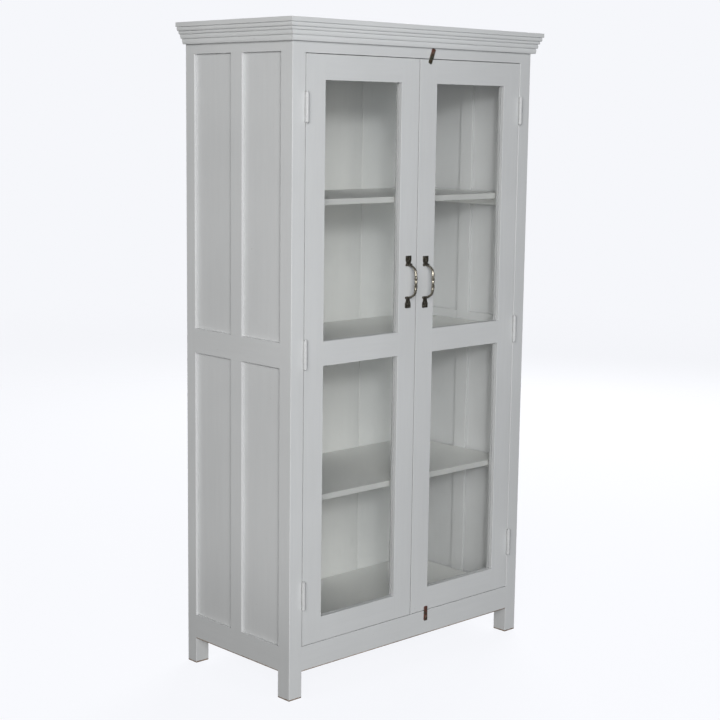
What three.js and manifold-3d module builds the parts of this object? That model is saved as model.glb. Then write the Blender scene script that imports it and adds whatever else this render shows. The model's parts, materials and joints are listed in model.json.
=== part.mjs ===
// Two-door curio cabinet. Millimetres, +Z up, the front faces -Y.
// The origin is on the floor, under the middle of the object.
import * as THREE from "three";
import { mergeVertices } from "three/addons/utils/BufferGeometryUtils.js";
import Module from "manifold-3d";

// Carcass
const BODY_WIDTH = 920; // over the corner posts
const BODY_DEPTH = 443; // over the corner posts, doors closed
const BODY_HEIGHT = 1745; // floor to the underside of the cornice
const TOTAL_HEIGHT = 1803;
const TOP_BOARD_THICKNESS = 17.7;
const POST_WIDTH = 44;
const FRONT_POST_DEPTH = 46;
const BACK_POST_DEPTH = 38;
const FACE_RAIL_THICKNESS = 25; // the two rails above and below the doors
const SIDE_FRAME_THICKNESS = 24;
const LEG_HEIGHT = 74; // floor to the underside of the bottom rails
const MUNTIN_WIDTH = 47;
const SIDE_TOP_RAIL_BOTTOM = 1719;
const MIDDLE_RAIL = [902, 970];
const BOTTOM_RAIL_TOP = 143.7;
const PANEL_THICKNESS = 5;
const PANEL_RECESS = 9; // outer face of the side frame to the panel
const PANEL_HOUSING = 7; // how far a panel runs into its grooves
const RAIL_TENON = 22; // length of the tenons of rails and muntins
const TENON_SHOULDER = 13; // tenon in from the rail's edges
const SIDE_TENON = [5, 14]; // outer face of the side frame to the tenon's faces
const FACE_TENON = [6, 16]; // front plane to the face rails' tenons
const GAP = 0.3; // clearance between neighbouring pieces

// Inside
const SHELF_THICKNESS = 16;
const SHELF_FRONT = 40; // front plane to the shelves' front edges
const SHELF_TOPS = { upper: 1340.7, middle: 943, lower: 540.3 };
const SHELF_HOUSING = 6; // the middle shelf's ends run this far into the side frames
const CLEAT = [18, 22]; // width, height
const BOTTOM_BOARD_THICKNESS = 18;
const BACK_BOARD_FRONT = 431;
const BACK_BOARD_THICKNESS = 10;
const BACK_REBATE = 10;
const BACK_JOINT_X = 197; // where the two back boards meet
const BACK_JOINT_GAP = 1.6; // the shrinkage gap between them

// Cornice: underside and overhang of each moulded band, from the lowest up
const CORNICE_BANDS = [
  { z: 1745, out: 11.5 },
  { z: 1759.5, out: 15.5 },
  { z: 1771.5, out: 19 },
  { z: 1780, out: 23.5 },
  { z: 1791, out: 27 },
];
const REED_DEPTH = 1.4; // how far a rounded band swells past its own edges
const REED_STEPS = 7;
const BACK_OVERHANG = 10; // top board and cornice past the back posts
const CORNICE_END_SLANT = 11; // the side mouldings' back ends lean forward towards the underside

// Doors
const DOOR_BOTTOM = 145.5;
const DOOR_TOP = 1714.5;
const DOOR_TOP_GAP = 1.8; // door to the rail above it
const DOOR_THICKNESS = 24;
const DOOR_SIDE_GAP = 2;
const DOOR_CENTRE_GAP = 3;
const STILE_WIDTH = 67;
const DOOR_RAILS = { bottom: [145.5, 213.5], middle: [903, 969], top: [1649, 1714.5] };
const GLASS_THICKNESS = 3;
const GLASS_FRONT = 12; // door face to the rebate's shoulder
const REBATE = 8;
const DOOR_TENON = 30; // length of the door rails' tenons
const DOOR_TENON_DEPTH = [7, 17]; // door face to the tenon's faces

// Hinges, butt type, knuckles standing in front of the face
const HINGE_LENGTH = 76;
const HINGE_CENTRES = { top: 1580, middle: 940, bottom: 286 };
const HINGE_AXIS_Y = -5.9;
const KNUCKLE_RADIUS = 5.6;
const PIN_RADIUS = 2.4;
const PIN_HEAD_RADIUS = 3.3; // the pin's rounded ends, centred on the barrel's ends
const LEAF_THICKNESS = 2;
const LEAF_DEPTH = 22;
const KNUCKLES = 5;

// Bow handles
const HANDLE_X = 34; // from the middle of the cabinet
const HANDLE_Z = { left: 1107.5, right: 1103.5 };
const HANDLE_REACH = 36.8; // face of the door to the front of the grip
const HANDLE_LENGTH = 145;
const BEAD_RADIUS = 5;
const GRIP_RADIUS = 4;
const NECK_RADIUS = 2.9;
const UPPER_FOOT = { arm: 47.5, neck: 15.5 }; // middle of the handle to the arm, width of the foot's neck
const LOWER_FOOT = { arm: 43.5, neck: 12.5 };
// The bow's line from the arm to the grip: [out from the door, from the arm towards the middle]
const BOW_BEND = [[2, 0], [9, 1.5], [18, 4.5], [25.5, 9.5], [29.8, 16.5], [31.2, 25], [31.8, 35]];
const BOW_SWELL = [0.06, 0.34]; // shares of the bow's length between which the neck swells to the grip
const BEAD_HEIGHTS = [8.5, 13]; // ring beads above and below the middle of the grip
const BEAD_HALF_LENGTH = 1.9;
const BEAD_COVE = 0.7; // how far the grip narrows beside the beads
const COVE_HALF_LENGTH = 5.7;
const BOW_ROWS = 96;
const FOOT_THICKNESS = 3;
const FOOT_WIDTH = 20.5;
const FOOT_CORNER = 1.5;
const FOOT_SHOULDER = 56; // middle of the handle to the foot's full width
const FOOT_NECK_CURVE = 3;
const COLLAR_RADIUS = 3.4;

// Turn buttons
const BUTTON_LENGTH = 43;
const BUTTON_WIDTH = 13;
const BUTTON_TIP_WIDTH = 12;
const BUTTON_THICKNESS = 3;
const BUTTON_SHORT_END = 12; // pivot to the short end
const BUTTON_STAND_OFF = 1.4; // back of the bar to the cabinet's face
const BUTTON_BOSS_RADIUS = 5;
const BUTTON_CORNER = 2.2;
const BUTTON_BEVEL = 0.6;
const TOP_BUTTON = { x: 46.3, z: 1731.8, arm: -111.4 }; // arm: direction of the long end, degrees from +X
const BOTTOM_BUTTON = { x: 60.5, z: 126.7, arm: 90 };

const ROUND_SEGMENTS = 28;

const wasm = await Module();
wasm.setup();

const material = (color, roughness, metalness = 0) =>
  new THREE.MeshStandardMaterial({ color, roughness, metalness });
const PAINT = material("#bfc2c5", 0.55);
const INSIDE_PAINT = material("#b4b6b7", 0.6);
const AGED_BRASS = material("#6b6242", 0.42, 0.9);
const DARK_BRASS = material("#3b3128", 0.55, 0.8);
const GLASS = new THREE.MeshStandardMaterial({
  color: "#dfe6e4",
  roughness: 0.03,
  metalness: 0,
  transparent: true,
  opacity: 0.2,
});

const group = new THREE.Group();
group.name = "curio_cabinet";
const originY = (BODY_DEPTH + BACK_OVERHANG - HANDLE_REACH) / 2; // front plane to the origin

// The group of one body; a moving one stands on its axis, given from the front plane.
function bodyGroup(name, x = 0, y = 0, z = 0) {
  const made = new THREE.Group();
  made.name = name;
  made.position.set(x, y - originY, z);
  group.add(made);
  return made;
}

// A three.js geometry as a solid that can be joined and cut.
function solidOf(geometry) {
  const bare = geometry.clone();
  bare.deleteAttribute("normal");
  bare.deleteAttribute("uv");
  const merged = mergeVertices(bare, 1e-4);
  return new wasm.Manifold(
    new wasm.Mesh({
      numProp: 3,
      vertProperties: new Float32Array(merged.attributes.position.array),
      triVerts: new Uint32Array(merged.index.array),
    }),
  );
}

// A box between two corners, each range as [low, high].
function block(x, y, z) {
  const box = new THREE.BoxGeometry(x[1] - x[0], y[1] - y[0], z[1] - z[0]);
  return solidOf(box.translate((x[0] + x[1]) / 2, (y[0] + y[1]) / 2, (z[0] + z[1]) / 2));
}

const grow = ([low, high], by = GAP) => [low - by, high + by];
const grownBlock = (x, y, z) => block(grow(x), grow(y), grow(z));
const inner = ([low, high], by = GAP) => [low + by, high - by];
const mirrored = (range, side) => (side < 0 ? range : [-range[1], -range[0]]);

// A round bar along Z.
function bar(x, y, z, radius) {
  const cylinder = new THREE.CylinderGeometry(radius, radius, z[1] - z[0], ROUND_SEGMENTS);
  return solidOf(cylinder.rotateX(Math.PI / 2).translate(x, y, (z[0] + z[1]) / 2));
}

function ball(x, y, z, radius) {
  const sphere = new THREE.SphereGeometry(radius, ROUND_SEGMENTS, ROUND_SEGMENTS / 4);
  return solidOf(sphere.rotateX(Math.PI / 2).translate(x, y, z));
}

const joined = (first, ...rest) => rest.reduce((whole, piece) => whole.add(piece), first);
const cut = (first, ...rest) => rest.reduce((whole, piece) => whole.subtract(piece), first);

// A finished solid as a named mesh, in its own place in a body's group.
function meshIn(body, name, solid, look) {
  const made = solid.getMesh();
  const geometry = new THREE.BufferGeometry();
  const positions = new Float32Array(made.numVert * 3);
  for (let i = 0; i < made.numVert; i++) {
    const at = i * made.numProp;
    positions.set(made.vertProperties.subarray(at, at + 3), i * 3);
  }
  geometry.setAttribute("position", new THREE.BufferAttribute(positions, 3));
  geometry.setIndex(new THREE.BufferAttribute(made.triVerts, 1));
  const flat = geometry.toNonIndexed();
  flat.computeVertexNormals();
  const mesh = new THREE.Mesh(flat, look);
  mesh.name = name;
  body.add(mesh);
  return mesh;
}

// The same for a solid drawn where it stands in the cabinet, with the front plane at y = 0.
function addPart(body, name, solid, look) {
  const { x, y, z } = body.position;
  meshIn(body, name, solid, look).position.set(-x, -y - originY, -z);
}

const SIDES = [
  { name: "left", sign: -1 },
  { name: "right", sign: 1 },
];
const halfWidth = BODY_WIDTH / 2;
const postInner = halfWidth - POST_WIDTH;
const frameInner = halfWidth - SIDE_FRAME_THICKNESS;
const frameTop = TOTAL_HEIGHT - TOP_BOARD_THICKNESS - GAP;
const backPostFront = BODY_DEPTH - BACK_POST_DEPTH;
const muntinMiddle = (FRONT_POST_DEPTH + backPostFront) / 2;
const muntinY = [muntinMiddle - MUNTIN_WIDTH / 2, muntinMiddle + MUNTIN_WIDTH / 2];
const hingeX = postInner - DOOR_SIDE_GAP / 2;

const cabinet = bodyGroup("cabinet");
const doors = {
  left: bodyGroup("left_door", -hingeX, HINGE_AXIS_Y),
  right: bodyGroup("right_door", hingeX, HINGE_AXIS_Y),
};

// Ranges of the side frame on the left side; mirrored() turns them to the right.
const sideX = [-halfWidth, -frameInner];
const panelX = [-halfWidth + PANEL_RECESS, -halfWidth + PANEL_RECESS + PANEL_THICKNESS];
const tenonX = [-halfWidth + SIDE_TENON[0], -halfWidth + SIDE_TENON[1]];
const sideRails = {
  top: [SIDE_TOP_RAIL_BOTTOM, frameTop],
  middle: MIDDLE_RAIL,
  bottom: [LEG_HEIGHT, BOTTOM_RAIL_TOP],
};
const faceRails = {
  top: [DOOR_TOP + DOOR_TOP_GAP, frameTop],
  bottom: [LEG_HEIGHT, BOTTOM_RAIL_TOP],
};
const panelRows = {
  upper: [MIDDLE_RAIL[1], SIDE_TOP_RAIL_BOTTOM],
  lower: [BOTTOM_RAIL_TOP, MIDDLE_RAIL[0]],
};
const panelColumns = {
  front: [FRONT_POST_DEPTH, muntinY[0]],
  back: [muntinY[1], backPostFront],
};

// The four panels of one side as [x, y, z] ranges, edges inside their grooves.
function panelBoxes(sign) {
  const boxes = {};
  for (const [row, z] of Object.entries(panelRows))
    for (const [column, y] of Object.entries(panelColumns))
      boxes[row + "_" + column] = [
        mirrored(panelX, sign),
        grow(y, PANEL_HOUSING),
        grow(z, PANEL_HOUSING),
      ];
  return boxes;
}

// A rail's tenons at both posts, along the depth of the cabinet.
function sideTenon(sign, z, grown) {
  const reach = [FRONT_POST_DEPTH - RAIL_TENON, backPostFront + RAIL_TENON];
  const box = [mirrored(tenonX, sign), reach, inner(z, TENON_SHOULDER)];
  return grown ? grownBlock(...box) : block(...box);
}

// A front rail's tenons, across the width.
function faceTenon(z, grown) {
  const reach = postInner + RAIL_TENON;
  const box = [[-reach, reach], FACE_TENON, inner(z, TENON_SHOULDER)];
  return grown ? grownBlock(...box) : block(...box);
}

function muntinTenon(sign, grown) {
  const reach = [BOTTOM_RAIL_TOP - RAIL_TENON, SIDE_TOP_RAIL_BOTTOM + RAIL_TENON];
  const box = [mirrored(tenonX, sign), inner(muntinY, TENON_SHOULDER), reach];
  return grown ? grownBlock(...box) : block(...box);
}

function shelfBox(level) {
  const reach = level === "middle" ? frameInner + SHELF_HOUSING : frameInner - GAP;
  const top = SHELF_TOPS[level];
  const y = [SHELF_FRONT, BACK_BOARD_FRONT - GAP];
  return [[-reach, reach], y, [top - SHELF_THICKNESS, top]];
}

// The pocket that a hinge leaf lies in, cut in the face at hingeX + offset.
function leafPockets(sign, from, to) {
  return Object.values(HINGE_CENTRES).map((z) =>
    block(
      mirrored([-to, -from], sign),
      [-1, LEAF_DEPTH + GAP],
      [z - HINGE_LENGTH / 2 - GAP, z + HINGE_LENGTH / 2 + GAP],
    ),
  );
}

function buildPost(side, row) {
  const x = mirrored([-halfWidth, -postInner], side.sign);
  const y = row === "front" ? [0, FRONT_POST_DEPTH] : [backPostFront, BODY_DEPTH];
  let post = block(x, y, [0, frameTop]);
  for (const z of Object.values(sideRails)) post = cut(post, sideTenon(side.sign, z, true));
  for (const box of Object.values(panelBoxes(side.sign))) post = cut(post, grownBlock(...box));
  if (row === "front") {
    for (const z of Object.values(faceRails)) post = cut(post, faceTenon(z, true));
    post = cut(post, ...leafPockets(side.sign, postInner - 1, postInner + LEAF_THICKNESS + GAP));
  } else {
    const rebateX = mirrored([-postInner - BACK_REBATE, -postInner + 1], side.sign);
    const rebateY = [BACK_BOARD_FRONT, BODY_DEPTH + 1];
    post = cut(post, block(rebateX, rebateY, [LEG_HEIGHT - GAP, frameTop + 1]));
  }
  addPart(cabinet, "post_" + row + "_" + side.name, post, PAINT);
}

function buildSideRail(side, place) {
  const z = sideRails[place];
  const x = mirrored(sideX, side.sign);
  let rail = block(x, inner([FRONT_POST_DEPTH, backPostFront]), z);
  rail = joined(rail, sideTenon(side.sign, z, false));
  for (const box of Object.values(panelBoxes(side.sign))) rail = cut(rail, grownBlock(...box));
  if (place === "middle") {
    const lapX = mirrored([-halfWidth + SIDE_FRAME_THICKNESS / 2, -frameInner + 1], side.sign);
    rail = cut(rail, grownBlock(lapX, muntinY, grow(z, 1)), grownBlock(...shelfBox("middle")));
  } else rail = cut(rail, muntinTenon(side.sign, true));
  addPart(cabinet, "rail_" + side.name + "_" + place, rail, PAINT);
}

// The muntin runs the full height and laps behind the middle rail.
function buildMuntin(side) {
  const x = mirrored(sideX, side.sign);
  let muntin = block(x, muntinY, inner([BOTTOM_RAIL_TOP, SIDE_TOP_RAIL_BOTTOM]));
  muntin = joined(muntin, muntinTenon(side.sign, false));
  const outerHalf = mirrored([-halfWidth - 1, -halfWidth + SIDE_FRAME_THICKNESS / 2], side.sign);
  muntin = cut(muntin, block(outerHalf, grow(muntinY, 1), grow(MIDDLE_RAIL)));
  for (const box of Object.values(panelBoxes(side.sign))) muntin = cut(muntin, grownBlock(...box));
  muntin = cut(muntin, grownBlock(...shelfBox("middle")));
  addPart(cabinet, "muntin_" + side.name, muntin, PAINT);
}

function buildSides() {
  for (const side of SIDES) {
    buildPost(side, "front");
    buildPost(side, "back");
    for (const place of Object.keys(sideRails)) buildSideRail(side, place);
    buildMuntin(side);
    for (const [place, box] of Object.entries(panelBoxes(side.sign)))
      addPart(cabinet, "panel_" + side.name + "_" + place, block(...box), PAINT);
  }
}

function buildFaceRails() {
  const x = inner([-postInner, postInner]);
  for (const [place, z] of Object.entries(faceRails)) {
    const rail = joined(block(x, [0, FACE_RAIL_THICKNESS], z), faceTenon(z, false));
    addPart(cabinet, "rail_front_" + place, rail, PAINT);
  }
}

// Cuts the four posts, with clearance, out of a board.
function clearOfPosts(board, z) {
  for (const { sign } of SIDES) {
    const x = mirrored([-halfWidth, -postInner], sign);
    board = cut(board, grownBlock(x, [0, FRONT_POST_DEPTH], grow(z, 1)));
    board = cut(board, grownBlock(x, [backPostFront, BODY_DEPTH], grow(z, 1)));
  }
  return board;
}

function buildBoards() {
  for (const level of Object.keys(SHELF_TOPS)) {
    const box = shelfBox(level);
    addPart(cabinet, "shelf_" + level, clearOfPosts(block(...box), box[2]), INSIDE_PAINT);
  }
  const reach = frameInner - GAP;
  const bottomZ = [BOTTOM_RAIL_TOP - BOTTOM_BOARD_THICKNESS, BOTTOM_RAIL_TOP];
  const bottomY = [FACE_RAIL_THICKNESS + GAP, BACK_BOARD_FRONT - GAP];
  const bottom = clearOfPosts(block([-reach, reach], bottomY, bottomZ), bottomZ);
  addPart(cabinet, "bottom_board", bottom, INSIDE_PAINT);
  const topZ = [TOTAL_HEIGHT - TOP_BOARD_THICKNESS, TOTAL_HEIGHT];
  const topX = inner([-halfWidth, halfWidth]);
  addPart(cabinet, "top_board", block(topX, [GAP, BODY_DEPTH + BACK_OVERHANG], topZ), PAINT);
  const backY = [BACK_BOARD_FRONT, BACK_BOARD_FRONT + BACK_BOARD_THICKNESS];
  const backX = inner([-postInner - BACK_REBATE, postInner + BACK_REBATE]);
  const backZ = [LEG_HEIGHT, frameTop];
  const leftX = [backX[0], BACK_JOINT_X - BACK_JOINT_GAP / 2];
  const rightX = [BACK_JOINT_X + BACK_JOINT_GAP / 2, backX[1]];
  addPart(cabinet, "back_board_left", block(leftX, inner(backY), backZ), INSIDE_PAINT);
  addPart(cabinet, "back_board_right", block(rightX, inner(backY), backZ), INSIDE_PAINT);
}

function buildCleats() {
  const y = inner([FRONT_POST_DEPTH, backPostFront], 1);
  for (const { name, sign } of SIDES)
    for (const level of ["upper", "lower"]) {
      const x = mirrored([-frameInner + GAP, -frameInner + CLEAT[0]], sign);
      const top = SHELF_TOPS[level] - SHELF_THICKNESS - GAP;
      addPart(cabinet, "cleat_" + level + "_" + name, block(x, y, [top - CLEAT[1], top]), INSIDE_PAINT);
    }
}

// The moulding's outline as [out from the body, height], each band but the top one rounded.
function corniceOutline() {
  const points = [[GAP, BODY_HEIGHT]];
  CORNICE_BANDS.forEach(({ z, out }, i) => {
    const next = CORNICE_BANDS[i + 1];
    if (!next) {
      points.push([out, z], [out, TOTAL_HEIGHT]);
      return;
    }
    for (let step = 0; step <= REED_STEPS; step++) {
      const share = (2 * step) / REED_STEPS - 1;
      const height = (z + next.z) / 2 + (share * (next.z - z)) / 2;
      points.push([out - REED_DEPTH * share * share, height]);
    }
  });
  points.push([GAP, TOTAL_HEIGHT]);
  return points;
}

// A moulding length along +X, its back on the plane y = 0, standing out towards -Y.
function mouldingAlongX(x) {
  const shape = new THREE.Shape(corniceOutline().map(([out, z]) => new THREE.Vector2(out, z)));
  const run = new THREE.ExtrudeGeometry(shape, { depth: x[1] - x[0], bevelEnabled: false });
  const turn = new THREE.Matrix4().set(0, 0, -1, x[1], -1, 0, 0, 0, 0, 1, 0, 0, 0, 0, 0, 1);
  return solidOf(run.applyMatrix4(turn));
}

// An upright prism over an outline in plan.
function upright(outline, z) {
  const shape = new THREE.Shape(outline.map(([x, y]) => new THREE.Vector2(x, y)));
  const prism = new THREE.ExtrudeGeometry(shape, { depth: z[1] - z[0], bevelEnabled: false });
  return solidOf(prism.translate(0, 0, z[0]));
}

function buildCornice() {
  const far = 40; // anything past the widest band
  const z = [BODY_HEIGHT - 1, TOTAL_HEIGHT + 1];
  const corner = halfWidth - GAP / 2;
  const front = upright(
    [[-corner, 0], [-corner - far, -far], [corner + far, -far], [corner, 0]],
    z,
  );
  addPart(cabinet, "cornice_front", mouldingAlongX([-corner - far, corner + far]).intersect(front), PAINT);
  const back = BODY_DEPTH + BACK_OVERHANG;
  const half = halfWidth + GAP / 2;
  const left = upright(
    [[-half + 1, 1], [-half + 1, back], [-half - far, back], [-half - far, -far]],
    z,
  );
  const end = new THREE.Shape();
  end.moveTo(-far, BODY_HEIGHT - 1);
  end.lineTo(back - CORNICE_END_SLANT, BODY_HEIGHT - 1);
  end.lineTo(back, TOTAL_HEIGHT - TOP_BOARD_THICKNESS);
  end.lineTo(back, TOTAL_HEIGHT + 1);
  end.lineTo(-far, TOTAL_HEIGHT + 1);
  const ended = solidOf(
    new THREE.ExtrudeGeometry(end, { depth: 2 * far, bevelEnabled: false })
      .applyMatrix4(new THREE.Matrix4().set(0, 0, 1, -halfWidth - far, 1, 0, 0, 0, 0, 1, 0, 0, 0, 0, 0, 1)),
  );
  const leftRun = mouldingAlongX([-back, far + 1]).rotate([0, 0, -90]).translate([-halfWidth, 0, 0]);
  const leftPiece = leftRun.intersect(left).intersect(ended);
  addPart(cabinet, "cornice_left", leftPiece, PAINT);
  addPart(cabinet, "cornice_right", leftPiece.mirror([1, 0, 0]), PAINT);
}

// Door ranges on the left side: outer edge, sight line at each stile, meeting edge.
const doorX = [-postInner + DOOR_SIDE_GAP, -DOOR_CENTRE_GAP / 2];
const sightX = [doorX[0] + STILE_WIDTH, doorX[1] - STILE_WIDTH];
const panes = {
  upper: [DOOR_RAILS.middle[1], DOOR_RAILS.top[0]],
  lower: [DOOR_RAILS.bottom[1], DOOR_RAILS.middle[0]],
};

// The rebate round both panes, as solids to cut away.
function paneRebates(sign) {
  const x = mirrored(grow(sightX, REBATE), sign);
  return Object.values(panes).map((z) =>
    block(x, [GLASS_FRONT, DOOR_THICKNESS + 1], grow(z, REBATE)),
  );
}

function doorTenon(sign, z, grown) {
  const box = [mirrored(grow(sightX, DOOR_TENON), sign), DOOR_TENON_DEPTH, inner(z, TENON_SHOULDER)];
  return grown ? grownBlock(...box) : block(...box);
}

function buildDoor({ name, sign }) {
  const depth = [0, DOOR_THICKNESS];
  const height = [DOOR_BOTTOM, DOOR_TOP];
  const stiles = { hinge: [doorX[0], sightX[0]], meeting: [sightX[1], doorX[1]] };
  for (const [place, x] of Object.entries(stiles)) {
    let stile = cut(block(mirrored(x, sign), depth, height), ...paneRebates(sign));
    for (const z of Object.values(DOOR_RAILS)) stile = cut(stile, doorTenon(sign, z, true));
    if (place === "hinge") {
      const edge = postInner - DOOR_SIDE_GAP;
      stile = cut(stile, ...leafPockets(sign, edge - LEAF_THICKNESS - GAP, edge + 1));
    }
    addPart(doors[name], name + "_door_stile_" + place, stile, PAINT);
  }
  for (const [place, z] of Object.entries(DOOR_RAILS)) {
    const rail = joined(block(mirrored(inner(sightX), sign), depth, z), doorTenon(sign, z, false));
    addPart(doors[name], name + "_door_rail_" + place, cut(rail, ...paneRebates(sign)), PAINT);
  }
  const glassY = [GLASS_FRONT + GAP, GLASS_FRONT + GAP + GLASS_THICKNESS];
  for (const [place, z] of Object.entries(panes)) {
    const edge = REBATE - 2 * GAP;
    const pane = block(mirrored(grow(sightX, edge), sign), glassY, grow(z, edge));
    addPart(doors[name], name + "_door_glass_" + place, pane, GLASS);
  }
}

// The frame's half of a hinge: leaf, every second knuckle, and the pin through all of them.
function buildHinge({ name, sign }, place) {
  const middle = HINGE_CENTRES[place];
  const low = middle - HINGE_LENGTH / 2;
  const high = middle + HINGE_LENGTH / 2;
  const x = sign * hingeX;
  const leafX = mirrored([-postInner - LEAF_THICKNESS, -postInner], sign);
  let hinge = joined(
    block(leafX, [GAP, LEAF_DEPTH], [low, high]),
    bar(x, HINGE_AXIS_Y, [low, high], PIN_RADIUS),
    ball(x, HINGE_AXIS_Y, low, PIN_HEAD_RADIUS),
    ball(x, HINGE_AXIS_Y, high, PIN_HEAD_RADIUS),
  );
  const pitch = HINGE_LENGTH / KNUCKLES;
  for (let i = 0; i < KNUCKLES; i += 2) {
    const z = inner([low + i * pitch, low + (i + 1) * pitch], GAP / 2);
    hinge = joined(
      hinge,
      bar(x, HINGE_AXIS_Y, z, KNUCKLE_RADIUS),
      block(leafX, [HINGE_AXIS_Y, 1], z),
    );
  }
  addPart(cabinet, "hinge_" + name + "_" + place, hinge, PAINT);
}

// Radius of the bow at a point on it: thin necks, a fuller grip, two pairs of ring beads.
function bowRadius(height, share) {
  const blend = THREE.MathUtils.smoothstep(Math.min(share, 1 - share), ...BOW_SWELL);
  const fromBeads = Math.min(...BEAD_HEIGHTS.map((z) => Math.abs(Math.abs(height) - z)));
  const cove = BEAD_COVE * (1 - THREE.MathUtils.smoothstep(fromBeads, BEAD_HALF_LENGTH, COVE_HALF_LENGTH));
  const plain = THREE.MathUtils.lerp(NECK_RADIUS, GRIP_RADIUS, blend) - cove;
  const swell = Math.sqrt(Math.max(0, 1 - (fromBeads / BEAD_HALF_LENGTH) ** 2));
  return THREE.MathUtils.lerp(plain, BEAD_RADIUS, swell);
}

// The bow: a turned profile bent along its curve, in the plane x = 0, door face at y = 0.
function handleBow() {
  const upper = BOW_BEND.map(([out, inwards]) => new THREE.Vector3(0, -out, UPPER_FOOT.arm - inwards));
  const lower = BOW_BEND.map(([out, inwards]) => new THREE.Vector3(0, -out, inwards - LOWER_FOOT.arm));
  const curve = new THREE.CatmullRomCurve3([...upper, ...lower.reverse()], false, "centripetal");
  const at = (i) => curve.getPointAt(i / BOW_ROWS);
  const profile = [new THREE.Vector2(0, 0)];
  for (let i = 0; i <= BOW_ROWS; i++) profile.push(new THREE.Vector2(bowRadius(at(i).z, i / BOW_ROWS), i));
  profile.push(new THREE.Vector2(0, BOW_ROWS));
  const turned = new THREE.LatheGeometry(profile, ROUND_SEGMENTS - 4);
  const place = turned.attributes.position;
  for (let v = 0; v < place.count; v++) {
    const share = place.getY(v) / BOW_ROWS;
    const centre = curve.getPointAt(share);
    const along = curve.getTangentAt(share);
    const side = place.getZ(v);
    place.setXYZ(v, place.getX(v), centre.y - side * along.z, centre.z + side * along.y);
  }
  return solidOf(turned);
}

// A foot plate that narrows towards its arm, above the middle of the handle.
function handleFoot(foot) {
  const half = HANDLE_LENGTH / 2;
  const wide = FOOT_WIDTH / 2;
  const neck = foot.neck / 2;
  const inside = foot.arm - 1;
  const shape = new THREE.Shape();
  shape.moveTo(-neck, inside);
  shape.lineTo(neck, inside);
  shape.quadraticCurveTo(neck, FOOT_SHOULDER, wide, FOOT_SHOULDER + FOOT_NECK_CURVE);
  shape.lineTo(wide, half - FOOT_CORNER);
  shape.quadraticCurveTo(wide, half, wide - FOOT_CORNER, half);
  shape.lineTo(-wide + FOOT_CORNER, half);
  shape.quadraticCurveTo(-wide, half, -wide, half - FOOT_CORNER);
  shape.lineTo(-wide, FOOT_SHOULDER + FOOT_NECK_CURVE);
  shape.quadraticCurveTo(-neck, FOOT_SHOULDER, -neck, inside);
  const plate = new THREE.ExtrudeGeometry(shape, {
    depth: FOOT_THICKNESS - GAP,
    bevelEnabled: false,
    curveSegments: 6,
  });
  return solidOf(plate.rotateX(Math.PI / 2).translate(0, -GAP, 0));
}

function handleCollar(foot) {
  const roll = new THREE.CylinderGeometry(COLLAR_RADIUS, COLLAR_RADIUS, FOOT_WIDTH, ROUND_SEGMENTS - 8);
  return solidOf(roll.rotateZ(Math.PI / 2).translate(0, -COLLAR_RADIUS - GAP, foot.arm));
}

function buildHandles() {
  const above = handleFoot(UPPER_FOOT).add(handleCollar(UPPER_FOOT));
  const below = handleFoot(LOWER_FOOT).add(handleCollar(LOWER_FOOT)).mirror([0, 0, 1]);
  const handle = joined(handleBow(), above, below);
  for (const { name, sign } of SIDES) {
    const place = [sign * HANDLE_X, 0, HANDLE_Z[name]];
    addPart(doors[name], "handle_" + name, handle.translate(place), AGED_BRASS);
  }
}

// A turn button lying flat, its pivot along Z and its long end along +X: a bar on a round boss.
function turnButton() {
  const tip = BUTTON_LENGTH - BUTTON_SHORT_END;
  const half = BUTTON_WIDTH / 2;
  const tipHalf = BUTTON_TIP_WIDTH / 2;
  const c = BUTTON_CORNER;
  const outline = [
    [tip, -tipHalf + c], [tip, tipHalf - c], [tip - c, tipHalf], [-BUTTON_SHORT_END + c, half],
    [-BUTTON_SHORT_END, half - c], [-BUTTON_SHORT_END, -half + c], [-BUTTON_SHORT_END + c, -half],
    [tip - c, -tipHalf],
  ];
  const shape = new THREE.Shape(outline.map(([along, across]) => new THREE.Vector2(along, across)));
  const plate = new THREE.ExtrudeGeometry(shape, {
    depth: BUTTON_THICKNESS - 2 * BUTTON_BEVEL,
    bevelThickness: BUTTON_BEVEL,
    bevelSize: BUTTON_BEVEL,
    bevelOffset: -BUTTON_BEVEL,
    bevelSegments: 2,
  });
  const bossHeight = BUTTON_STAND_OFF + BUTTON_BEVEL;
  const boss = new THREE.CylinderGeometry(BUTTON_BOSS_RADIUS, BUTTON_BOSS_RADIUS, bossHeight, ROUND_SEGMENTS);
  return joined(
    solidOf(plate.translate(0, 0, bossHeight)),
    solidOf(boss.rotateX(Math.PI / 2).translate(0, 0, GAP + bossHeight / 2)),
  );
}

// Stands a turn button on its pivot, turned to its arm's direction.
function buildButton(name, { x, z, arm }) {
  const body = bodyGroup(name + "_turn_button", x, 0, z);
  const mesh = meshIn(body, "turn_button_" + name, turnButton(), DARK_BRASS);
  mesh.rotation.set(Math.PI / 2, 0, THREE.MathUtils.degToRad(arm));
}

buildSides();
buildFaceRails();
buildBoards();
buildCleats();
buildCornice();
for (const side of SIDES) {
  buildDoor(side);
  for (const place of Object.keys(HINGE_CENTRES)) buildHinge(side, place);
}
buildHandles();
buildButton("top", TOP_BUTTON);
buildButton("bottom", BOTTOM_BUTTON);

export default group;
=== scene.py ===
"""Looks for the curio cabinet: paint, glass, brass, glazing beads, hinge leaves, screws and nails.

Everything stands in the CAD frame, in metres: x to the right, y to the back and z up.
"""

import json
import math
import random

import bmesh
import bpy
from mathutils import Matrix, Vector
from mathutils.geometry import tessellate_polygon


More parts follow.
